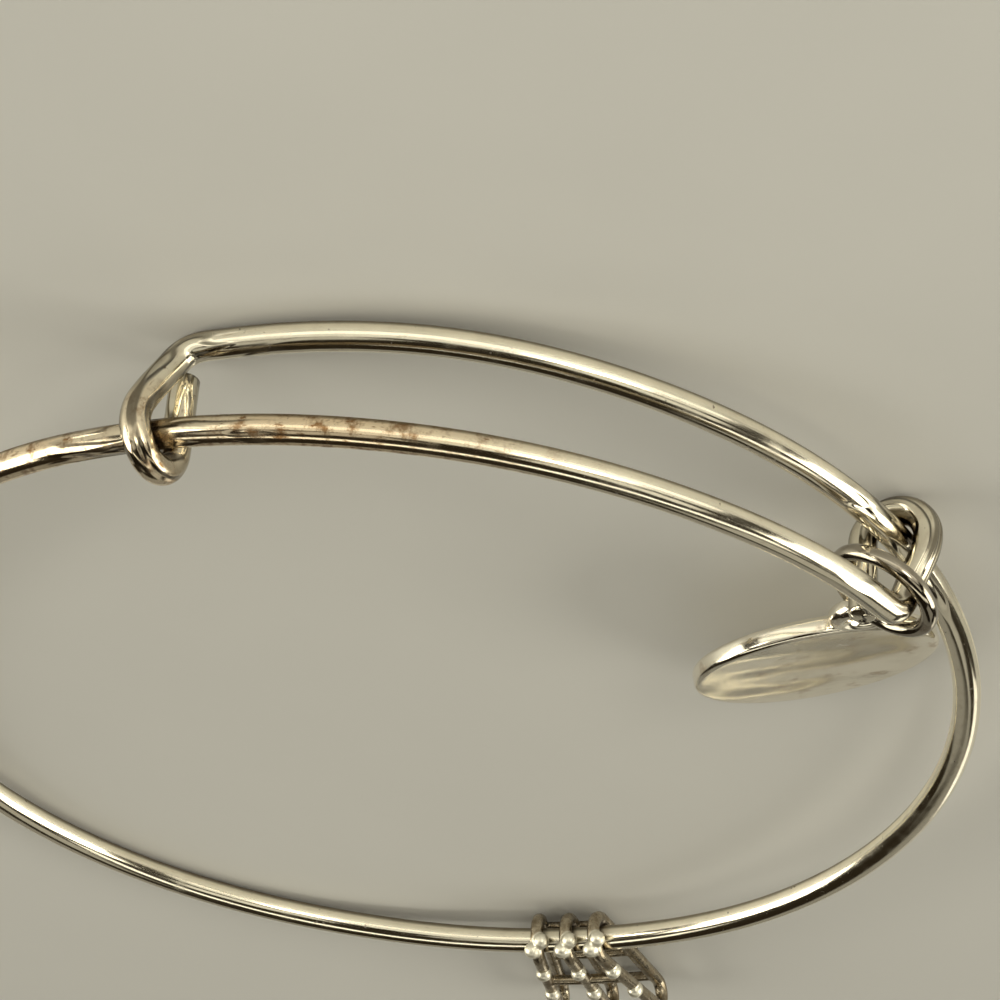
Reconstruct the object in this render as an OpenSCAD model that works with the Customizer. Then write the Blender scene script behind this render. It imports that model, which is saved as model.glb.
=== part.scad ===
// Charm bangle of polished wire that can be opened wider: the wire runs one and a quarter times
// round, and each end hooks round the neighbouring wire as a sliding knot.
// It lies on its side as it would on a table. The hoop's axis is +Z and the floor is z = 0.
// An angle round the hoop is 0 at the near side (-Y) and grows towards -X.
// A place on the hoop is given as along (with the angle), out (away from the axis) and up.

/* [Hoop] */
// Inside diameter of the hoop
inner_d = 61.8; // [60:0.1:66]
// Diameter of the hoop's wire
wire_d = 1.6; // [1.3:0.05:1.6]
// Angle round the hoop of the knot at the wire's lower end
left_knot = -25.2; // [-25.8:0.1:-24]
// Angle round the hoop of the knot at the wire's upper end
right_knot = 53; // [52:0.1:53]

/* [Jump ring] */
// Outside diameter of the jump ring
ring_d = 6.65; // [6.6:0.01:6.7]
// Diameter of the jump ring's wire
ring_wire = 0.95; // [0.8:0.01:0.95]

/* [Disc charm] */
// Diameter of the disc
disc_d = 14; // [10:0.1:14]
// Thickness of the disc
disc_t = 1.1; // [0.8:0.05:1.1]
// Radius of the rounding at the disc's rim
disc_edge = 0.3; // [0.1:0.05:0.35]
// Diameter of the wire of the disc's eye
eye_wire = 1.1; // [0.9:0.05:1.1]
// Outside diameter of the disc's eye
eye_d = 4.34; // [4.1:0.01:4.34]

/* [Loop charm] */
// Angle round the hoop of the charm's middle loop
charm_angle = 160.4; // [158:0.1:164]
// Distance from one loop to the next, at the hoop's wire
loop_pitch = 2.1; // [1.9:0.05:2.3]
// Angle by which the outer loops flare away from the middle one
loop_flare = 4; // [0:0.5:5]
// Diameter of the loops' wire
loop_wire = 0.84; // [0.7:0.02:0.84]
// Diameter of the small balls
ball_d = 1.04; // [0.95:0.01:1.1]

/* [Hidden] */
$fn = 48;

hoop_r = (inner_d + wire_d) / 2;
turn = 360;

// Height of the wire's centre above the floor, as the springy wire settles.
// Columns: angle round the hoop, height.
WIRE_HEIGHT = [
    [-26, 0.80], [0, 1.20], [26, 2.10], [52, 2.50], [80, 3.10], [110, 3.30],
    [135, 3.00], [160, 2.10], [190, 1.05], [220, 0.84], [250, 1.40], [280, 2.50],
    [307, 3.90], [334, 6.00], [360, 7.50], [386, 8.10], [413, 7.60]
];

// Slope of the height table between row i and the next, and at row i
function height_step(i) =
    (WIRE_HEIGHT[i + 1][1] - WIRE_HEIGHT[i][1]) / (WIRE_HEIGHT[i + 1][0] - WIRE_HEIGHT[i][0]);
function height_slope(i) =
    i == 0 ? height_step(0)
    : i == len(WIRE_HEIGHT) - 1 ? height_step(i - 1)
    : let (
        before = WIRE_HEIGHT[i][0] - WIRE_HEIGHT[i - 1][0],
        after = WIRE_HEIGHT[i + 1][0] - WIRE_HEIGHT[i][0]
      )
      (height_step(i - 1) * after + height_step(i) * before) / (before + after);

// Smooth height of the wire's centre at an angle: a cubic between the rows of the table
function wire_z(angle) =
    let (
        rows = [for (k = [0 : len(WIRE_HEIGHT) - 2]) if (WIRE_HEIGHT[k][0] <= angle) k],
        i = len(rows) == 0 ? 0 : max(rows),
        a = WIRE_HEIGHT[i],
        b = WIRE_HEIGHT[i + 1],
        h = b[0] - a[0],
        t = (angle - a[0]) / h
    )
    (2 * t ^ 3 - 3 * t ^ 2 + 1) * a[1] + (t ^ 3 - 2 * t ^ 2 + t) * h * height_slope(i)
    + (3 * t ^ 2 - 2 * t ^ 3) * b[1] + (t ^ 3 - t ^ 2) * h * height_slope(i + 1);

// Point beside the hoop, from an angle and the distances along, out and up
function hoop_point(angle, along, out, up) =
    let (a = angle + along / hoop_r * 180 / PI)
    [-(hoop_r + out) * sin(a), -(hoop_r + out) * cos(a), up];
function hoop_centre(angle) = hoop_point(angle, 0, 0, wire_z(angle));

// Both knots: the wire's end runs up or down inside the hoop, bends over the other wire and
// comes back outside it, then turns along the hoop. All lengths are from the knot's angle.
knot_steps = [180 : -22.5 : 0];
straight_steps = [5.5, 7.5, 10];

// Left knot: its end stands inside the hoop and its bend goes over the upper wire
left_bend = 1.75;
left_end_along = 0.02;
left_bend_along = -0.42;
left_low = wire_z(left_knot);
left_top = wire_z(left_knot + turn) + 0.1;
// Columns: along, out, height above the lower wire
LEFT_STRAND = [
    [-0.38, 1.64, 4.40], [-0.18, 1.24, 3.30], [0.10, 0.76, 2.20], [0.36, 0.36, 1.30],
    [0.70, 0.13, 0.58], [1.25, 0.03, 0.15], [2.00, 0.00, 0.02]
];
left_end_heights = [0.5, 1.6, 2.8, 4.0];
left_path = [
    for (h = left_end_heights) hoop_point(left_knot, left_end_along, -left_bend, left_low + h),
    for (a = knot_steps) hoop_point(
        left_knot,
        left_bend_along + (left_end_along - left_bend_along) * a / 180,
        left_bend * cos(a),
        left_top + left_bend * sin(a)
    ),
    for (p = LEFT_STRAND) hoop_point(left_knot, p[0], p[1], left_low + p[2]),
    for (a = straight_steps) hoop_centre(left_knot + a)
];

// Right knot: its end hangs inside the hoop and its bend goes under the lower wire
right_bend = 1.74;
right_end_along = -0.35;
right_bend_along = 0.55;
right_high = wire_z(right_knot + turn);
right_low = wire_z(right_knot) + 0.06;
// Columns: along, out, height above the bend's centre
RIGHT_RISE = [[0.56, 1.60, 0.94], [0.50, 1.22, 1.89], [0.42, 0.80, 2.79]];
// Columns: along, out, depth below the upper wire
RIGHT_TURN = [[0.32, 0.44, 1.25], [0.05, 0.20, 0.52], [-0.45, 0.06, 0.12], [-1.20, 0.00, 0.00]];
right_end_depths = [0.3, 1.5, 2.7];
right_end_last = 1.04;
right_path = [
    for (h = right_end_depths) hoop_point(right_knot, right_end_along, -right_bend, right_high - h),
    hoop_point(right_knot, right_end_along, -right_bend, right_low + right_end_last),
    for (a = knot_steps) hoop_point(
        right_knot,
        right_bend_along + (right_end_along - right_bend_along) * a / 180,
        right_bend * cos(a),
        right_low - right_bend * sin(a)
    ),
    for (p = RIGHT_RISE) hoop_point(right_knot, p[0], p[1], right_low + p[2]),
    for (p = RIGHT_TURN) hoop_point(right_knot, p[0], p[1], right_high - p[2]),
    for (a = straight_steps) hoop_centre(right_knot + turn - a)
];

// Curve through all points of a list, with parts points for each stretch
function curve(points, parts) =
    let (last = len(points) - 1)
    [
        for (i = [0 : last - 1], j = [0 : parts - 1])
            let (
                p0 = i > 0 ? points[i - 1] : 2 * points[0] - points[1],
                p1 = points[i],
                p2 = points[i + 1],
                p3 = i < last - 1 ? points[i + 2] : 2 * points[last] - points[last - 1],
                t = j / parts
            )
            (2 * p1 + (p2 - p0) * t + (2 * p0 - 5 * p1 + 4 * p2 - p3) * t ^ 2
                + (3 * p1 - p0 - 3 * p2 + p3) * t ^ 3) / 2,
        points[last]
    ];
function reversed(list) = [for (i = [len(list) - 1 : -1 : 0]) list[i]];

// The whole wire's centre-line, from the left knot's end to the right knot's end
hoop_step = 3;
knot_parts = 2;
hoop_run = [
    for (a = [left_knot + max(straight_steps) + hoop_step : hoop_step
            : right_knot + turn - max(straight_steps) - hoop_step / 2]) hoop_centre(a)
];
wire_path = concat(curve(left_path, knot_parts), hoop_run, reversed(curve(right_path, knot_parts)));

// Round wire along a path as one closed mesh, its cut ends slightly bevelled
wire_sides = 16;
end_bevel = 0.15;
function unit(v) = v / norm(v);
function bevelled(path) =
    let (last = len(path) - 1)
    concat(
        [path[0], path[0] + end_bevel * unit(path[1] - path[0])],
        [for (i = [1 : last - 1]) path[i]],
        [path[last] - end_bevel * unit(path[last] - path[last - 1]), path[last]]
    );
function directions(path) =
    let (last = len(path) - 1)
    [for (i = [0 : last]) unit(path[min(i + 1, last)] - path[max(i - 1, 0)])];
// A direction square to the wire at each point, carried along without twist
function carried(dirs) = [
    for (i = 0, n = unit(cross(dirs[0], [0.3, 1, 0.2])); i < len(dirs);
        i = i + 1, n = unit(n - (n * dirs[min(i, len(dirs) - 1)]) * dirs[min(i, len(dirs) - 1)])) n
];

module swept_wire(line, r, sides) {
    path = bevelled(line);
    dirs = directions(path);
    sideways = carried(dirs);
    last = len(path) - 1;
    points = [
        for (i = [0 : last], k = [0 : sides - 1])
            let (
                across = cross(dirs[i], sideways[i]),
                size = i == 0 || i == last ? r - end_bevel : r,
                a = k * 360 / sides
            )
            path[i] + size * (cos(a) * sideways[i] + sin(a) * across)
    ];
    walls = [
        for (i = [0 : last - 1], k = [0 : sides - 1])
            let (a = i * sides + k, b = i * sides + (k + 1) % sides)
            [a, a + sides, b + sides, b]
    ];
    start_cap = [for (k = [0 : sides - 1]) k];
    end_cap = [for (k = [sides - 1 : -1 : 0]) last * sides + k];
    polyhedron(points = points, faces = concat(walls, [start_cap], [end_cap]));
}

// Puts its children at a place on the hoop, with outwards as -Y and along as -X
module on_hoop(angle, along, out, up) {
    rotate([0, 0, -angle]) translate([-along, -(hoop_r + out), up]) children();
}

// Turns a flat shape so that its x runs outwards, its y upwards and its z along the hoop
module upright() {
    rotate([0, 0, -90]) rotate([90, 0, 0]) children();
}

// Part of a round ring made of round wire, in the XY plane
module wire_arc(r, wire_r, start, sweep) {
    rotate([0, 0, start]) rotate_extrude(angle = sweep) translate([r, 0]) circle(r = wire_r);
}

// Flat round disc with a rounded rim, centred on the origin
module rounded_disc(r, t, edge) {
    rotate_extrude() {
        translate([0, -t / 2]) square([r - edge, t]);
        translate([0, -t / 2 + edge]) square([r, t - 2 * edge]);
        for (side = [-1, 1]) translate([r - edge, side * (t / 2 - edge)]) circle(r = edge);
    }
}

module bangle_wire() {
    color("silver") swept_wire(wire_path, wire_d / 2, wire_sides);
}

// The jump ring goes round both strands of the right knot, between the two wires
ring_along = 0.27;
ring_out = -0.855;
ring_up = 5.62;
ring_turn = [0, 32.1, 59.25];

module jump_ring() {
    color("lightslategray")
        on_hoop(right_knot, ring_along, ring_out, ring_up)
            rotate(ring_turn) wire_arc((ring_d - ring_wire) / 2, ring_wire / 2, 0, 360);
}

// The disc's eye hangs in the jump ring, and the disc leans on the floor inside the hoop
eye_along = 2.33;
eye_out = -3.02;
eye_up = 5.06;
disc_turn = [-16.5, 13.5, 129.7];
eye_reach = 1.5;

module disc_charm() {
    color("silver")
        on_hoop(right_knot, eye_along, eye_out, eye_up)
            rotate(disc_turn) {
                wire_arc((eye_d - eye_wire) / 2, eye_wire / 2, 0, 360);
                translate([disc_d / 2 + eye_reach, 0, 0]) rounded_disc(disc_d / 2, disc_t, disc_edge);
            }
}

// One loop of the charm: a wide bend round the hoop's wire and a narrow bend at its outer end
wide_r = 1.36;
narrow_r = 0.95;
loop_reach = 9;
pitch_angle = loop_pitch / hoop_r * 180 / PI;
floor_gap = 0.02;
loop_drop = narrow_r + loop_wire / 2 + floor_gap - wire_z(charm_angle + pitch_angle);
loop_length = norm([loop_reach, loop_drop]);
loop_tilt = atan2(loop_drop, loop_reach);
loop_open = acos((wide_r - narrow_r) / loop_length);

// Point on a loop's upper (side 1) or lower (side -1) strand: t is 0 at the wide bend, 1 at the narrow one
function strand_point(side, t) =
    let (
        angle = loop_tilt + side * loop_open,
        away = [cos(angle), sin(angle)],
        from = wide_r * away,
        to = [loop_reach, loop_drop] + narrow_r * away
    )
    from + t * (to - from);

// The charm is one fine mesh: sides round its wire, steps in a whole bend, sides of a ball
loop_sides = 12;
bend_steps = 30;
ball_sides = 14;

// Straight round wire with round ends
module strand(from, to, r) {
    hull() {
        translate(from) sphere(r = r, $fn = loop_sides);
        translate(to) sphere(r = r, $fn = loop_sides);
    }
}

module bend(r, start, sweep) {
    rotate([0, 0, start])
        rotate_extrude(angle = sweep, $fn = bend_steps)
            translate([r, 0]) circle(r = loop_wire / 2, $fn = loop_sides);
}

module wire_loop() {
    bend(wide_r, loop_tilt + loop_open, 360 - 2 * loop_open);
    translate([loop_reach, loop_drop, 0]) bend(narrow_r, loop_tilt - loop_open, 2 * loop_open);
    for (side = [-1, 1]) {
        a = strand_point(side, 0);
        b = strand_point(side, 1);
        strand([a[0], a[1], 0], [b[0], b[1], 0], loop_wire / 2);
    }
}

// A pair of balls on each wide bend. Columns: angle round the bend, shift along the hoop
BEND_BALLS = [[150, -0.31], [128, 0.31]];
bend_ball_lift = 0.22;
// Single balls on each upper strand: place from the wide bend (0) to the narrow one (1)
STRAND_BALLS = [0.20, 0.60, 0.98];
strand_ball_lift = 0.26;

module ball(x, y, z) {
    translate([x, y, z]) sphere(d = ball_d, $fn = ball_sides);
}

module loop_balls() {
    top = loop_tilt + loop_open;
    for (row = BEND_BALLS) {
        reach = wide_r + bend_ball_lift;
        ball(reach * cos(row[0]), reach * sin(row[0]), row[1]);
    }
    for (t = STRAND_BALLS) {
        at = strand_point(1, t) + strand_ball_lift * [cos(top), sin(top)];
        ball(at[0], at[1], 0);
    }
}

// Places a loop on the hoop's wire, the outer ones turned outwards by the flare
module loop_place(side) {
    angle = charm_angle + side * pitch_angle;
    on_hoop(angle, 0, 0, wire_z(angle)) rotate([0, 0, -side * loop_flare]) upright() children();
}

// Cross bars join the loops. Columns: strand side, place along the strand
BARS = [[-1, 0.08], [-1, 0.52], [1, 0.40], [-1, 0.94]];
bar_r = 0.34;

module cross_bars() {
    for (bar = BARS, side = [-1, 1]) strand(bar_point(0, bar), bar_point(side, bar), bar_r);
}

// Where a bar meets a loop, in the part's own frame
function turned(v, angle) = [v[0] * cos(angle) - v[1] * sin(angle), v[0] * sin(angle) + v[1] * cos(angle)];
function bar_point(side, bar) =
    let (
        p = strand_point(bar[0], bar[1]),
        angle = charm_angle + side * pitch_angle,
        flat = turned(turned([0, -p[0]], -side * loop_flare) + [0, -hoop_r], -angle)
    )
    [flat[0], flat[1], wire_z(angle) + p[1]];

module loop_charm() {
    color("dimgray") {
        for (side = [-1, 0, 1]) loop_place(side) {
            wire_loop();
            loop_balls();
        }
        cross_bars();
    }
}

bangle_wire();
jump_ring();
disc_charm();
loop_charm();
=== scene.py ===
from math import acos, atan2, cos, degrees, pi, radians, sin, sqrt

import bmesh
import bpy
from mathutils import Matrix, Vector


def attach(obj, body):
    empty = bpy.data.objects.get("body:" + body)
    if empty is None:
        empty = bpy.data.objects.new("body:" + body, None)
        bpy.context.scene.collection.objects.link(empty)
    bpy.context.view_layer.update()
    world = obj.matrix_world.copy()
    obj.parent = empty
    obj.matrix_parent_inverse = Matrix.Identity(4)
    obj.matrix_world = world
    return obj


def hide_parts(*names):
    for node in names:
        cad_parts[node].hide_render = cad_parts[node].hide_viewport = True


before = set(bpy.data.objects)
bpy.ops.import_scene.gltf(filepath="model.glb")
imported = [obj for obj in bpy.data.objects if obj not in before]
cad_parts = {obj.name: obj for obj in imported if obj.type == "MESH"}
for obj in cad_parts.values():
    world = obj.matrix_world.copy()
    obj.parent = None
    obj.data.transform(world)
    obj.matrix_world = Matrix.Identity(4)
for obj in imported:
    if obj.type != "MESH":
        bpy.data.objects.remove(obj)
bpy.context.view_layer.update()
MM = 0.001
# Points closer than this are the same point
touching = 0.001 * MM


# The bangle's wire. One springy round wire of polished metal, drawn to 1.6 mm and bent one and
# a quarter times round. Each end hooks round the neighbouring wire as a sliding knot, so the
# hoop can open wider. Brown tarnish has started near the knots. Painted shade darkens the
# wire's underside, the creases and flanks of the knots and the hollows where metal stands close.
inner_diameter = 61.8 * MM
wire_diameter = 1.6 * MM
hoop_radius = (inner_diameter + wire_diameter) / 2
left_knot = -25.2
right_knot = 53.0

# Height of the wire's centre above the floor, in mm. Columns: angle round the hoop, height.
WIRE_HEIGHT = [
    (-26, 0.80), (0, 1.20), (26, 2.10), (52, 2.50), (80, 3.10), (110, 3.30),
    (135, 3.00), (160, 2.10), (190, 1.05), (220, 0.84), (250, 1.40), (280, 2.50),
    (307, 3.90), (334, 6.00), (360, 7.50), (386, 8.10), (413, 7.60),
]


def wire_height(angle):
    """Height of the wire's centre at an angle, in mm: a smooth cubic between the table's rows."""
    angles = [row[0] for row in WIRE_HEIGHT]
    heights = [row[1] for row in WIRE_HEIGHT]
    widths = [b - a for a, b in zip(angles, angles[1:])]
    steps = [(b - a) / w for a, b, w in zip(heights, heights[1:], widths)]
    inner = [
        (s0 * w1 + s1 * w0) / (w0 + w1)
        for s0, s1, w0, w1 in zip(steps, steps[1:], widths, widths[1:])
    ]
    slopes = [steps[0], *inner, steps[-1]]
    i = max([k for k in range(len(widths)) if angles[k] <= angle], default=0)
    t = (angle - angles[i]) / widths[i]
    return (
        (2 * t**3 - 3 * t**2 + 1) * heights[i]
        + (t**3 - 2 * t**2 + t) * widths[i] * slopes[i]
        + (3 * t**2 - 2 * t**3) * heights[i + 1]
        + (t**3 - t**2) * widths[i] * slopes[i + 1]
    )


def beside_hoop(angle, along, out, up):
    """A point from an angle round the hoop and distances along, out and up, in mm."""
    turn = radians(angle) + along * MM / hoop_radius
    reach = hoop_radius + out * MM
    return Vector((-reach * sin(turn), -reach * cos(turn), up * MM))


def hoop_centre(angle):
    """A point of the wire's centre-line at an angle round the hoop."""
    return beside_hoop(angle, 0, 0, wire_height(angle))


# Places round the half turn of a knot, in degrees
KNOT_STEPS = [180 - 22.5 * k for k in range(9)]
# Places past a knot where the wire is back on the hoop, in degrees round the hoop
STRAIGHT_STEPS = [5.5, 7.5, 10]


def left_knot_points():
    """The wire's lower end: it stands inside the hoop, bends over the upper wire and comes back."""
    bend, end_along, bend_along = 1.75, 0.02, -0.42
    low = wire_height(left_knot)
    top = wire_height(left_knot + 360) + 0.1
    # Columns: along the hoop, out from it and up from the lower wire, in mm
    strand = [
        (-0.38, 1.64, 4.40), (-0.18, 1.24, 3.30), (0.10, 0.76, 2.20), (0.36, 0.36, 1.30),
        (0.70, 0.13, 0.58), (1.25, 0.03, 0.15), (2.00, 0.00, 0.02),
    ]
    return [
        *(beside_hoop(left_knot, end_along, -bend, low + h) for h in (0.5, 1.6, 2.8, 4.0)),
        *(
            beside_hoop(
                left_knot,
                bend_along + (end_along - bend_along) * a / 180,
                bend * cos(radians(a)),
                top + bend * sin(radians(a)),
            )
            for a in KNOT_STEPS
        ),
        *(beside_hoop(left_knot, s, out, low + h) for s, out, h in strand),
        *(hoop_centre(left_knot + a) for a in STRAIGHT_STEPS),
    ]


def right_knot_points():
    """The wire's upper end: it hangs inside the hoop, bends under the lower wire and comes back."""
    bend, end_along, bend_along = 1.74, -0.35, 0.55
    high = wire_height(right_knot + 360)
    low = wire_height(right_knot) + 0.06
    # Columns: along the hoop, out from it and up from the lower wire, in mm
    rise = [(0.56, 1.60, 0.94), (0.50, 1.22, 1.89), (0.42, 0.80, 2.79)]
    # Columns: along the hoop, out from it and down from the upper wire, in mm
    turn = [(0.32, 0.44, 1.25), (0.05, 0.20, 0.52), (-0.45, 0.06, 0.12), (-1.20, 0.00, 0.00)]
    return [
        *(beside_hoop(right_knot, end_along, -bend, high - d) for d in (0.3, 1.5, 2.7)),
        beside_hoop(right_knot, end_along, -bend, low + 1.04),
        *(
            beside_hoop(
                right_knot,
                bend_along + (end_along - bend_along) * a / 180,
                bend * cos(radians(a)),
                low - bend * sin(radians(a)),
            )
            for a in KNOT_STEPS
        ),
        *(beside_hoop(right_knot, s, out, low + h) for s, out, h in rise),
        *(beside_hoop(right_knot, s, out, high - d) for s, out, d in turn),
        *(hoop_centre(right_knot + 360 - a) for a in STRAIGHT_STEPS),
    ]


def curve(points, parts):
    """A smooth line through all the points, with several new points for each stretch."""
    ends = [2 * points[0] - points[1], *points, 2 * points[-1] - points[-2]]
    line = []
    for p0, p1, p2, p3 in zip(ends, ends[1:], ends[2:], ends[3:]):
        for t in (k / parts for k in range(parts)):
            line.append(
                (2 * p1 + (p2 - p0) * t + (2 * p0 - 5 * p1 + 4 * p2 - p3) * t**2
                 + (3 * p1 - p0 - 3 * p2 + p3) * t**3) / 2
            )
    return [*line, points[-1]]


def places_along(path):
    """A matrix for each point of a path, with z forwards, carried along without twist."""
    closed = (path[0] - path[-1]).length < touching
    ends = [path[-2], *path, path[1]] if closed else [path[0], *path, path[-1]]
    ahead = [(b - a).normalized() for a, b in zip(ends, ends[2:])]
    across = ahead[0].orthogonal().normalized()
    for point, forward in zip(path, ahead):
        across = (across - forward * across.dot(forward)).normalized()
        turn = Matrix((across, forward.cross(across), forward)).transposed()
        yield Matrix.Translation(point) @ turn.to_4x4()


def ring_of_wire(shape, radius, sides, place):
    """A circle of vertices for the section of a wire. Gives its edges."""
    made = bmesh.ops.create_circle(shape, segments=sides, radius=radius, matrix=place)["verts"]
    return list({edge for vert in made for edge in vert.link_edges})


def draw_wire(shape, path, radius, sides):
    """Pulls round wire along a path. Each vertex keeps its place in the wire before bending."""
    layers = shape.verts.layers.float_vector
    straight = layers.get("straight") or layers.new("straight")
    places = list(places_along(path))
    edges = ring_of_wire(shape, radius, sides, places[0])
    ends = [edges]
    run = 0.0

    def note(verts, place):
        back = place.inverted()
        for vert in verts:
            flat = back @ vert.co
            vert[straight] = (run, flat.x, flat.y)

    note({vert for edge in edges for vert in edge.verts}, places[0])
    for before, place in zip(places, places[1:]):
        made = bmesh.ops.extrude_edge_only(shape, edges=edges)["geom"]
        verts = [g for g in made if isinstance(g, bmesh.types.BMVert)]
        edges = [g for g in made if isinstance(g, bmesh.types.BMEdge) and g.is_boundary]
        bmesh.ops.transform(shape, matrix=place @ before.inverted(), verts=verts)
        run += (place.translation - before.translation).length
        note(verts, place)
    return [*ends, edges]


def finish_mesh(name, shape, material, sharp=radians(40)):
    """Makes a smooth-shaded piece of a bmesh, with faces outwards and one material."""
    bmesh.ops.recalc_face_normals(shape, faces=shape.faces)
    mesh = bpy.data.meshes.new(name)
    shape.to_mesh(mesh)
    shape.free()
    mesh.shade_smooth()
    mesh.set_sharp_from_angle(angle=sharp)
    mesh.materials.append(material)
    piece = bpy.data.objects.new(name, mesh)
    bpy.context.scene.collection.objects.link(piece)
    return piece


class Shade:
    """An output socket of a shader node. Sums on it add Math nodes, and node() any other node."""

    def __init__(self, tree, socket=None):
        self.tree = tree
        self.socket = socket

    def node(self, kind, settings=None, inputs=None, out=0):
        made = self.tree.nodes.new("ShaderNode" + kind)
        settings = dict(settings or {})
        stops = settings.pop("stops", None)
        for name, value in settings.items():
            setattr(made, name, value)
        if stops:
            ramp = made.color_ramp
            while len(ramp.elements) < len(stops):
                ramp.elements.new(1.0)
            for element, (place, colour) in zip(ramp.elements, stops):
                element.position = place
                element.color = (*colour, 1.0)
        for name, value in (inputs or {}).items():
            if isinstance(value, Shade):
                self.tree.links.new(value.socket, made.inputs[name])
            else:
                made.inputs[name].default_value = value
        return Shade(self.tree, made.outputs[out]) if made.outputs else None

    def maths(self, operation, *values):
        return self.node("Math", {"operation": operation}, dict(enumerate(values)))

    def __add__(self, other):
        return self.maths("ADD", self, other)

    def __sub__(self, other):
        return self.maths("SUBTRACT", self, other)

    def __rsub__(self, other):
        return self.maths("SUBTRACT", other, self)

    def __mul__(self, other):
        return self.maths("MULTIPLY", self, other)

    __radd__ = __add__
    __rmul__ = __mul__

    def between(self, low, high):
        """0 below low and 1 above high, with a soft step."""
        return self.node(
            "MapRange",
            {"interpolation_type": "SMOOTHSTEP"},
            {"Value": self, "From Min": low, "From Max": high},
        )

    def scaled(self, factors):
        return self.node("VectorMath", {"operation": "MULTIPLY"}, {0: self, 1: factors})

    def moved(self, by):
        return self.node("VectorMath", {"operation": "ADD"}, {0: self, 1: by})

    def noise(self, scale, detail=3.0, roughness=0.55):
        return self.node(
            "TexNoise", {}, {"Vector": self, "Scale": scale, "Detail": detail, "Roughness": roughness}
        )

    def mixed(self, under, over):
        """One colour over another, by this mask."""
        return self.node("Mix", {"data_type": "RGBA"}, {0: self, 6: under, 7: over}, out=2)


def colour(red, green, blue):
    return (red, green, blue, 1.0)


def surface(name, make):
    """A material whose Principled BSDF takes the inputs that make(start) gives."""
    material = bpy.data.materials.new(name)
    material.use_nodes = True
    tree = material.node_tree
    tree.nodes.clear()
    start = Shade(tree)
    shader = start.node("BsdfPrincipled", {}, make(start))
    start.node("OutputMaterial", {}, {"Surface": shader})
    return material


def dented(start, height, depth, below=None):
    """A bump of some depth in metres, laid over another one."""
    inputs = {"Height": height, "Distance": depth, "Strength": 1.0}
    if below:
        inputs["Normal"] = below
    return start.node("Bump", {}, inputs)


def recesses(start, reach):
    """Near 1 where other metal stands closer than reach, and 0 in the open."""
    return 1 - start.node("AmbientOcclusion", {"samples": 12}, {"Distance": reach}, out="AO")


def near(where, centre, reach):
    """1 close to a point of the object and 0 from a distance of reach on."""
    distance = where.node(
        "VectorMath", {"operation": "DISTANCE"}, {0: where, 1: centre}, out="Value"
    )
    return 1 - distance.between(0.25 * reach, reach)


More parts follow.
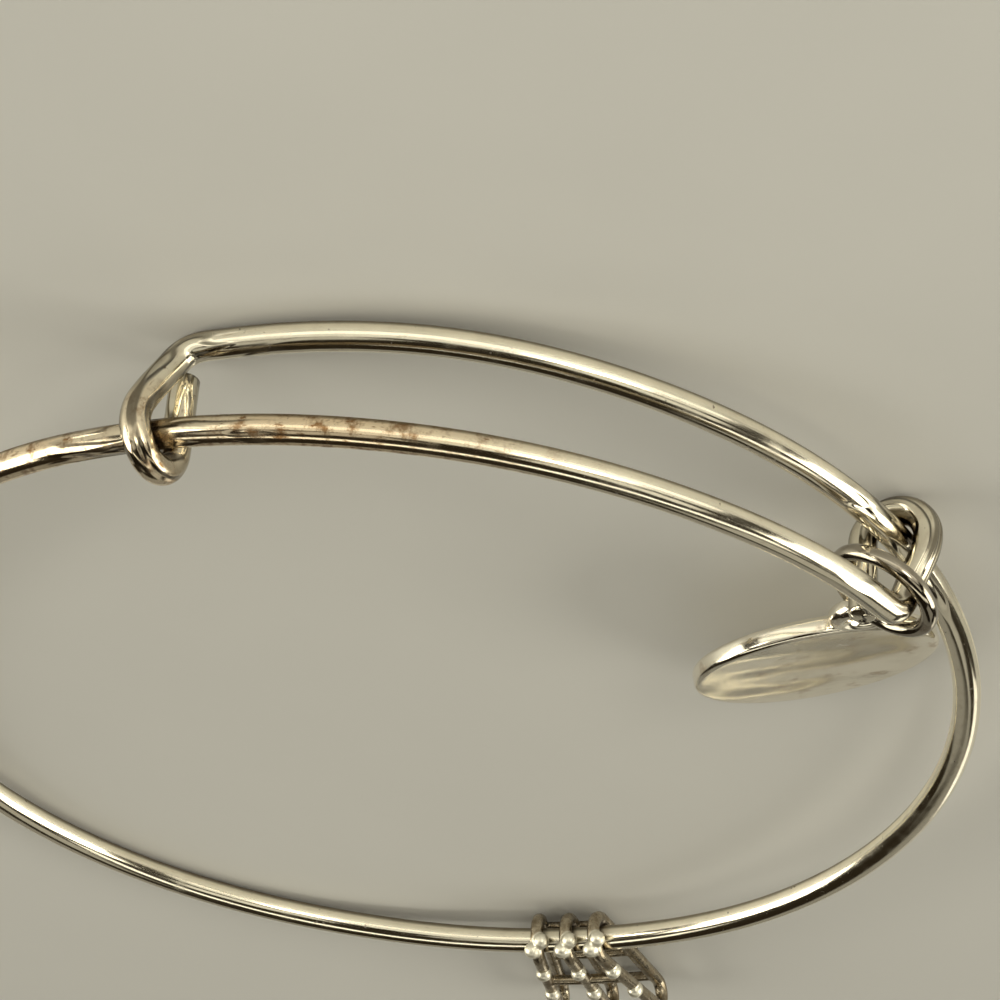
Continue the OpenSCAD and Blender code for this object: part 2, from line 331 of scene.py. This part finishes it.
def drawn_wire(start):
    """Polished wire: draw lines, shallow dents, plier marks at the knots, tarnish and pits.

    Tarnish is warm near the left knot and brown in spots. Painted shade darkens and browns the
    underside, darkens the creases and flanks of the knots, and darkens hollows where other metal
    stands close.
    """
    straight = start.node("Attribute", {"attribute_name": "straight"}, out="Vector")
    where = start.node("TexCoord", out="Object")
    height = start.node("SeparateXYZ", {}, {0: where}, out="Z")
    normal = start.node("TexCoord", out="Normal")
    facing_up = start.node("SeparateXYZ", {}, {0: normal}, out="Z")
    sideways = start.node("SeparateXYZ", {}, {0: normal}, out="X")
    facing_side = start.maths("ABSOLUTE", sideways)
    recess = recesses(start, 1.1 * MM)
    lines = straight.scaled((25, 4200, 4200)).noise(1.0, 3.0)
    ripples = straight.scaled((420, 1500, 1500)).noise(1.0, 2.0)
    dents = straight.scaled((170, 380, 380)).noise(1.0, 1.0)
    smudges = where.noise(420, 4.0).between(0.50, 0.72)
    film = where.moved((0.4, 0, 0)).noise(900, 6.0, 0.7).between(0.46, 0.66)
    specks = straight.scaled((900, 2600, 2600)).noise(1.0, 3.0, 0.7).between(0.60, 0.70)
    pits = where.noise(2600, 2.0, 0.6).between(0.70, 0.76)
    upper_strand = height.between(3.2 * MM, 5.0 * MM)
    warm = upper_strand * near(where, beside_hoop(left_knot + 360, 2, 0, 7), 24 * MM)
    crimp_left = near(where, beside_hoop(left_knot, -0.3, 0, 4.5), 8.5 * MM)
    crimp_right = near(where, beside_hoop(right_knot, 0.3, 0, 5.0), 8.5 * MM)
    crimped = crimp_left + crimp_right
    warm = warm * (1 - 0.5 * crimped)
    marks = straight.scaled((190, 1150, 1150)).noise(1.0, 1.0)
    creases = (marks.between(0.43, 0.49) - marks.between(0.51, 0.57)) * crimped
    flanks = facing_side.between(0.62, 0.95) * crimped
    underside = 1 - facing_up.between(-0.52, -0.16)
    dull_side = (1 - facing_up.between(0.04, 0.34)) * (1 - crimped)
    tarnish_and_shade = film * (warm + crimped * 0.1 + 0.06) + specks * (warm * 0.8 + crimped * 0.2 + 0.12)
    # Painted shade: extra brown tarnish colour on the underside, stronger towards the bottom of the
    # wire.
    tarnish_and_shade = tarnish_and_shade + underside * (0.3 * film + 0.3 * warm)
    tint = (warm * 0.7).mixed(colour(0.97, 0.91, 0.75), colour(0.88, 0.68, 0.44))
    tint = tarnish_and_shade.mixed(tint, colour(0.32, 0.18, 0.08))
    # Painted shade: the downward-facing underside is painted dark brown.
    tint = (underside * 0.8).mixed(tint, colour(0.16, 0.125, 0.075))
    # Painted shade: the steep slopes of the plier marks at the knots are painted dark.
    tint = (creases * 0.85).mixed(tint, colour(0.13, 0.11, 0.08))
    # Painted shade: the sideways-facing flanks of the knots are painted dark.
    tint = (flanks * 0.7).mixed(tint, colour(0.20, 0.165, 0.11))
    # Painted shade: hollows where other metal stands close are painted dark brown.
    tint = recess.between(0.40, 0.95).mixed(tint, colour(0.14, 0.10, 0.06))
    tint = (pits * 0.7).mixed(tint, colour(0.12, 0.07, 0.035))
    rough = 0.10 + 0.08 * lines + 0.10 * smudges + 0.12 * tarnish_and_shade + 0.2 * pits + 0.3 * dull_side
    ridges = marks.between(0.42, 0.58) * crimped
    bump = dented(start, dents, 0.030 * MM)
    bump = dented(start, ridges, 0.17 * MM, bump)
    bump = dented(start, ripples, 0.008 * MM, bump)
    bump = dented(start, lines, 0.0045 * MM, bump)
    return {"Base Color": tint, "Metallic": 1.0, "Roughness": rough, "Normal": bump}


# Degrees round the hoop from one ring of points to the next, and new points for each stretch
# between two points of a knot
hoop_step = 0.75
knot_parts = 8
wire_sides = 40
cut_rounding = 0.22 * MM
first_angle = left_knot + STRAIGHT_STEPS[-1]
last_angle = right_knot + 360 - STRAIGHT_STEPS[-1]
hoop_steps = round((last_angle - first_angle) / hoop_step)
hoop_run = [
    hoop_centre(first_angle + (last_angle - first_angle) * k / hoop_steps)
    for k in range(1, hoop_steps)
]
wire_path = [
    *curve(left_knot_points(), knot_parts),
    *hoop_run,
    *reversed(curve(right_knot_points(), knot_parts)),
]

wire_shape = bmesh.new()
cut_ends = draw_wire(wire_shape, wire_path, wire_diameter / 2, wire_sides)
for cut_end in cut_ends:
    bmesh.ops.contextual_create(wire_shape, geom=cut_end)
bmesh.ops.bevel(
    wire_shape,
    geom=[edge for cut_end in cut_ends for edge in cut_end],
    offset=cut_rounding,
    affect="EDGES",
    segments=4,
    profile=0.5,
    material=-1,
)
wire = finish_mesh("wire", wire_shape, surface("drawn_wire", drawn_wire))
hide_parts("bangle_wire")
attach(wire, "root")


# The jump ring. Round wire of a slightly darker steel, closed round both strands of the right
# knot, between the two wires of the hoop. It carries the disc charm's eye.
ring_radius = 2.85 * MM
ring_wire_radius = 0.475 * MM
# Along the hoop, out from it and up from the floor in mm, then the turns in degrees
ring_middle = (0.27, -0.855, 5.62)
ring_turns = (0, 32.1, 59.25)


def on_hoop(angle, along, out, up):
    """A place on the hoop with outwards as -y, along as -x and up as z, in mm."""
    return Matrix.Rotation(-radians(angle), 4, "Z") @ Matrix.Translation(
        (-along * MM, -hoop_radius - out * MM, up * MM)
    )


def turned(x, y, z):
    """A turn about x, then y, then z, in degrees."""
    return (
        Matrix.Rotation(radians(z), 4, "Z")
        @ Matrix.Rotation(radians(y), 4, "Y")
        @ Matrix.Rotation(radians(x), 4, "X")
    )


def round_ring(shape, radius, wire_radius, place, steps=96, sides=24):
    """A round ring of round wire in the place's xy plane, spun from its section."""
    standing = Matrix.Translation((radius, 0, 0)) @ Matrix.Rotation(pi / 2, 4, "X")
    edges = ring_of_wire(shape, wire_radius, sides, standing)
    verts = {vert for edge in edges for vert in edge.verts}
    before = set(shape.verts) - verts
    bmesh.ops.spin(
        shape,
        geom=[*edges, *verts],
        cent=(0, 0, 0),
        axis=(0, 0, 1),
        angle=2 * pi,
        steps=steps,
        use_merge=True,
    )
    made = [vert for vert in shape.verts if vert not in before]
    bmesh.ops.transform(shape, matrix=place, verts=made)


def ring_steel(start):
    """Tumbled steel: a little greyer than the hoop, with fine scuffs in all directions."""
    where = start.node("TexCoord", out="Object")
    scuffs = where.scaled((5200, 1300, 2600)).noise(1.0, 4.0, 0.7)
    film = where.noise(700, 4.0, 0.7).between(0.5, 0.7)
    dents = where.noise(700, 1.0)
    tint = (film * 0.6).mixed(colour(0.43, 0.39, 0.32), colour(0.21, 0.155, 0.10))
    rough = 0.10 + 0.10 * scuffs.between(0.45, 0.75) + 0.12 * film
    bump = dented(start, dents, 0.008 * MM)
    bump = dented(start, scuffs, 0.0012 * MM, bump)
    return {"Base Color": tint, "Metallic": 1.0, "Roughness": rough, "Normal": bump}


ring_place = on_hoop(right_knot, *ring_middle) @ turned(*ring_turns)
ring_shape = bmesh.new()
round_ring(ring_shape, ring_radius, ring_wire_radius, ring_place)
jump_ring = finish_mesh("ring", ring_shape, surface("ring_steel", ring_steel))
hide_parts("jump_ring")
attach(jump_ring, "root")


# The disc charm. A stamped round disc with softly rounded edges and a round wire eye soldered
# to its rim. It hangs in the jump ring and leans on the floor inside the hoop.
disc_radius = 7.0 * MM
disc_thick = 1.1 * MM
disc_rounding = 0.3 * MM
rim_inset = 0.12 * MM
eye_radius = 1.62 * MM
eye_wire_radius = 0.55 * MM
eye_to_disc = 8.5 * MM
# The eye's middle along the hoop, out from it and up from the floor in mm, then the turns
eye_middle = (2.33, -3.02, 5.06)
disc_turns = (-16.5, 13.5, 129.7)


def soft_disc(shape, radius, thick, place, sides=160):
    """A round disc in the place's xy plane, with a rounded rim."""
    before = set(shape.verts)
    bmesh.ops.create_cone(
        shape, cap_ends=True, segments=sides, radius1=radius, radius2=radius, depth=thick
    )

    def caps():
        return [face for face in shape.faces if len(face.verts) == sides]

    rims = [rim for cap in caps() for rim in cap.edges]
    bmesh.ops.bevel(
        shape,
        geom=rims,
        offset=disc_rounding,
        affect="EDGES",
        segments=5,
        profile=0.5,
        material=-1,
    )
    bmesh.ops.inset_region(shape, faces=caps(), thickness=rim_inset)
    made = [vert for vert in shape.verts if vert not in before]
    bmesh.ops.transform(shape, matrix=place, verts=made)


def stamped_silver(start):
    """Polished disc: a faint wave from the stamping, fine wiping scratches and a few smudges."""
    where = start.node("TexCoord", out="Object")
    wave = where.noise(130, 1.0)
    wipes = where.scaled((900, 6000, 3000)).noise(1.0, 3.0, 0.65)
    smudges = where.noise(300, 4.0, 0.6).between(0.5, 0.75)
    film = where.noise(520, 5.0, 0.7).between(0.56, 0.70)
    tint = (film * 0.5).mixed(colour(0.90, 0.85, 0.73), colour(0.42, 0.25, 0.13))
    rough = 0.12 + 0.10 * wipes.between(0.45, 0.8) + 0.14 * smudges + 0.10 * film
    bump = dented(start, wave, 0.75 * MM)
    bump = dented(start, wipes, 0.0015 * MM, bump)
    return {"Base Color": tint, "Metallic": 1.0, "Roughness": rough, "Normal": bump}


eye_place = on_hoop(right_knot, *eye_middle) @ turned(*disc_turns)
disc_place = eye_place @ Matrix.Translation((eye_to_disc, 0, 0))
disc_shape = bmesh.new()
soft_disc(disc_shape, disc_radius, disc_thick, disc_place)
round_ring(disc_shape, eye_radius, eye_wire_radius, eye_place)
disc = finish_mesh("disc", disc_shape, surface("stamped_silver", stamped_silver))
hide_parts("disc_charm")
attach(disc, "root")


# The loop charm. Three long loops of wire stand side by side round the hoop's far wire. A pair of
# small balls is soldered on each where it crosses the wire, and single balls farther out. Cross
# bars join them into one charm, and painted shade darkens its recesses.
charm_angle = 160.4
# From one loop to the next, in mm along the hoop and in degrees apart
loop_pitch = 2.1
loop_flare = 4
loop_wire_radius = 0.42 * MM
wide_radius = 1.36 * MM
narrow_radius = 0.95 * MM
loop_reach = 9.0 * MM
ball_radius = 0.52 * MM
bar_radius = 0.34 * MM
floor_gap = 0.02 * MM
pitch_angle = degrees(loop_pitch * MM / hoop_radius)
lowest_centre = narrow_radius + loop_wire_radius + floor_gap
loop_drop = lowest_centre - wire_height(charm_angle + pitch_angle) * MM
loop_length = sqrt(loop_reach**2 + loop_drop**2)
loop_tilt = atan2(loop_drop, loop_reach)
loop_open = acos((wide_radius - narrow_radius) / loop_length)
loop_sides = 20
bar_sides = 16
# The voxels in mm that fuse the charm into one skin, and how often it is smoothed
skin_voxel = 0.06
skin_rounds = 3
# A ball's mark fades out at this many radii from its centre, over this many
mark_end = 1.25
mark_fade = 0.2

# Columns: angle round the wide bend, shift along the hoop in mm
BEND_BALLS = [(150, -0.31), (128, 0.31)]
bend_ball_lift = 0.22 * MM
# Places along the upper strand
STRAND_BALLS = [0.20, 0.60, 0.98]
strand_ball_lift = 0.26 * MM
# Columns: strand side, place along the strand
BARS = [(-1, 0.08), (-1, 0.52), (1, 0.40), (-1, 0.94)]


def strand_point(side, t, lift=0.0):
    """A point of a loop's upper (side 1) or lower (side -1) strand, out and up from the hoop."""
    angle = loop_tilt + side * loop_open
    away = Vector((cos(angle), sin(angle), 0))
    inner = wide_radius * away
    outer = Vector((loop_reach, loop_drop, 0)) + narrow_radius * away
    return inner + t * (outer - inner) + lift * away


def loop_place(side):
    """A loop's own frame: x outwards, y upwards and z along the hoop."""
    angle = charm_angle + side * pitch_angle
    upright = Matrix(((0, 0, -1, 0), (-1, 0, 0, 0), (0, 1, 0, 0), (0, 0, 0, 1)))
    flare = Matrix.Rotation(-radians(side * loop_flare), 4, "Z")
    return on_hoop(angle, 0, 0, wire_height(angle)) @ flare @ upright


def arc(radius, centre, start, sweep, steps):
    """Points along a round arc in a loop's own frame."""
    angles = [start + sweep * k / steps for k in range(steps + 1)]
    return [centre + radius * Vector((cos(a), sin(a), 0)) for a in angles]


def loop_path(place):
    """The centre-line of one loop: a wide bend round the hoop and a narrow one at its end."""
    wide = arc(wide_radius, Vector(), loop_tilt + loop_open, 2 * pi - 2 * loop_open, 32)
    outer = Vector((loop_reach, loop_drop, 0))
    narrow = arc(narrow_radius, outer, loop_tilt - loop_open, 2 * loop_open, 24)
    return [place @ point for point in [*wide, *narrow, wide[0]]]


def one_skin(piece, voxel, rounds):
    """Fuses a piece's overlapping meshes with soft fillets. The voxels are measured in mm."""
    piece.data.transform(Matrix.Scale(1 / MM, 4))
    skin = piece.modifiers.new("skin", "REMESH")
    skin.mode = "VOXEL"
    skin.voxel_size = voxel
    skin.use_smooth_shade = True
    soft = piece.modifiers.new("soft", "SMOOTH")
    soft.factor = 0.5
    soft.iterations = rounds
    done = piece.evaluated_get(bpy.context.evaluated_depsgraph_get())
    made = bpy.data.meshes.new_from_object(done)
    piece.modifiers.clear()
    made.transform(Matrix.Scale(MM, 4))
    made.name = piece.data.name
    piece.data = made


def mark_balls(piece, centres):
    """Notes on each vertex how far it belongs to a ball, for the material."""
    marks = piece.data.attributes.new("ball", "FLOAT", "POINT")
    for vert, mark in zip(piece.data.vertices, marks.data):
        away = min((vert.co - centre).length for centre in centres) / ball_radius
        mark.value = max(0.0, min(1.0, (mark_end - away) / mark_fade))


def darkened_silver(start):
    """Cast silver, darkened brown on the loops, with bright, worn balls and painted shade in its
    recesses.
    """
    where = start.node("TexCoord", out="Object")
    on_ball = start.node("Attribute", {"attribute_name": "ball"}, out="Fac")
    recess = recesses(start, 0.9 * MM)
    grain = where.noise(3800, 3.0, 0.6)
    film = where.noise(1300, 4.0, 0.7).between(0.38, 0.66)
    loops_tint = film.mixed(colour(0.46, 0.40, 0.30), colour(0.24, 0.19, 0.125))
    tint = on_ball.mixed(loops_tint, colour(0.97, 0.93, 0.80))
    # Painted shade: recesses between loops, balls and bars are painted near black.
    tint = recess.between(0.15, 0.85).mixed(tint, colour(0.07, 0.05, 0.03))
    rough = 0.20 + 0.16 * film + 0.06 * grain + 0.14 * on_ball
    bump = dented(start, grain, 0.008 * MM)
    return {"Base Color": tint, "Metallic": 1.0, "Roughness": rough, "Normal": bump}


charm_shape = bmesh.new()
ball_centres = []
for side in (-1, 0, 1):
    place = loop_place(side)
    draw_wire(charm_shape, loop_path(place), loop_wire_radius, loop_sides)
    for angle, shift in BEND_BALLS:
        away = Vector((cos(radians(angle)), sin(radians(angle)), 0))
        centre = (wide_radius + bend_ball_lift) * away + Vector((0, 0, shift * MM))
        ball_centres.append(place @ centre)
    ball_centres += [place @ strand_point(1, t, strand_ball_lift) for t in STRAND_BALLS]
for centre in ball_centres:
    bmesh.ops.create_uvsphere(
        charm_shape,
        u_segments=32,
        v_segments=20,
        radius=ball_radius,
        matrix=Matrix.Translation(centre),
    )
for bar_side, t in BARS:
    for side in (-1, 1):
        bar_path = [loop_place(s) @ strand_point(bar_side, t) for s in (0, side)]
        for cut_end in draw_wire(charm_shape, bar_path, bar_radius, bar_sides):
            bmesh.ops.contextual_create(charm_shape, geom=cut_end)
bmesh.ops.remove_doubles(charm_shape, verts=charm_shape.verts, dist=touching)
loops = finish_mesh("loops", charm_shape, surface("darkened_silver", darkened_silver))
one_skin(loops, skin_voxel, skin_rounds)
mark_balls(loops, ball_centres)
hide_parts("loop_charm")
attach(loops, "root")


# The floor. A plain pale sheet that the bangle lies on, matt enough that it mirrors nothing
# clearly.
floor_half = 2.5


def pale_sheet(start):
    """Pale grey with a slow, faint change of tone."""
    where = start.node("TexCoord", out="Object")
    tone = where.noise(35, 3.0)
    return {
        "Base Color": tone.mixed(colour(0.68, 0.675, 0.655), colour(0.75, 0.745, 0.72)),
        "Roughness": 0.45,
    }


floor_shape = bmesh.new()
bmesh.ops.create_grid(floor_shape, x_segments=1, y_segments=1, size=floor_half)
floor = finish_mesh("floor", floor_shape, surface("pale_sheet", pale_sheet))


# The light. Wide soft panels stand behind the camera, at both sides, overhead and, dimmer, at
# the back. The dark room between them draws the dark bands on the polished metal, and two small
# lamps draw the hot spots.
PANEL_TINT = (1.0, 0.96, 0.81)
# Columns: name, place, what it looks at, width and height in metres, glow
PANELS = [
    ("low_panel", (0, -0.30, 0.05), (0, 0, 0.05), (0.80, 0.10), 1.3),
    ("front_panel", (0, -0.30, 0.17), (0, 0, 0.17), (0.80, 0.13), 0.75),
    ("upper_left", (0.19, -0.24, 0.33), (0, 0, 0), (0.25, 0.14), 0.45),
    ("upper_right", (-0.19, -0.24, 0.33), (0, 0, 0), (0.25, 0.14), 0.75),
    ("left_panel", (0.45, 0, 0.17), (0, 0, 0.17), (0.32, 0.34), 3.8),
    ("right_panel", (-0.45, 0, 0.17), (0, 0, 0.17), (0.32, 0.34), 3.8),
    ("rim_panel", (-0.46, 0.60, 0.12), (0, 0, 0), (0.30, 0.22), 1.2),
    ("high_panel", (-0.25, 0.32, 0.44), (0, 0, 0), (0.30, 0.30), 0.35),
    ("top_strip", (0, 0.04, 0.55), (0, 0, 0), (1.0, 0.11), 1.5),
    ("back_panel", (0, 0.80, 0.28), (0, 0, 0.28), (0.9, 0.56), 0.22),
    ("lamp_right", (-0.11, -0.27, 0.12), (0, 0, 0), (0.09, 0.07), 6),
    ("lamp_left", (0.38, -0.27, 0.18), (0, 0, 0), (0.12, 0.08), 6),
]


def panel(name, place, look_at, size, glow):
    """A flat soft light. Its glow is the brightness of its face, 1 for white in the picture."""
    lamp = bpy.data.lights.new(name, "AREA")
    lamp.shape = "RECTANGLE"
    lamp.size, lamp.size_y = size
    lamp.energy = glow * pi * size[0] * size[1]
    lamp.color = PANEL_TINT
    holder = bpy.data.objects.new(name, lamp)
    holder.location = place
    aim = Vector(look_at) - Vector(place)
    holder.rotation_euler = aim.to_track_quat("-Z", "Y").to_euler()
    bpy.context.scene.collection.objects.link(holder)


for row in PANELS:
    panel(*row)

room_colour = colour(0.017, 0.012, 0.006)
room = bpy.data.worlds.new("room")
room.use_nodes = True
background = room.node_tree.nodes["Background"]
background.inputs["Color"].default_value = room_colour
background.inputs["Strength"].default_value = 1.0
bpy.context.scene.world = room


# The camera. It stands at the photo's angle to the bangle: 35 degrees above the floor, on the
# knots' side, and rolled over so that this side is at the top of the picture.
view_elevation = 35.15
view_roll = 183.9
view_distance = 211.72 * MM
view_target = Vector((-4.05, 0, -11.51)) * MM
picture_side = 1000
focal_pixels = 3500
sensor_width = 36

camera = bpy.data.objects.new("camera", bpy.data.cameras.new("camera"))
bpy.context.scene.collection.objects.link(camera)
look = Vector((0, cos(radians(view_elevation)), -sin(radians(view_elevation))))
camera.location = view_target - view_distance * look
tilt = Matrix.Rotation(radians(90 - view_elevation), 3, "X")
roll = Matrix.Rotation(radians(view_roll), 3, "Z")
camera.rotation_euler = (tilt @ roll).to_euler()
camera.data.sensor_width = sensor_width
camera.data.lens = sensor_width * focal_pixels / picture_side
camera.data.clip_start = 1 * MM
bpy.context.scene.camera = camera
bpy.context.scene.view_settings.view_transform = "Standard"
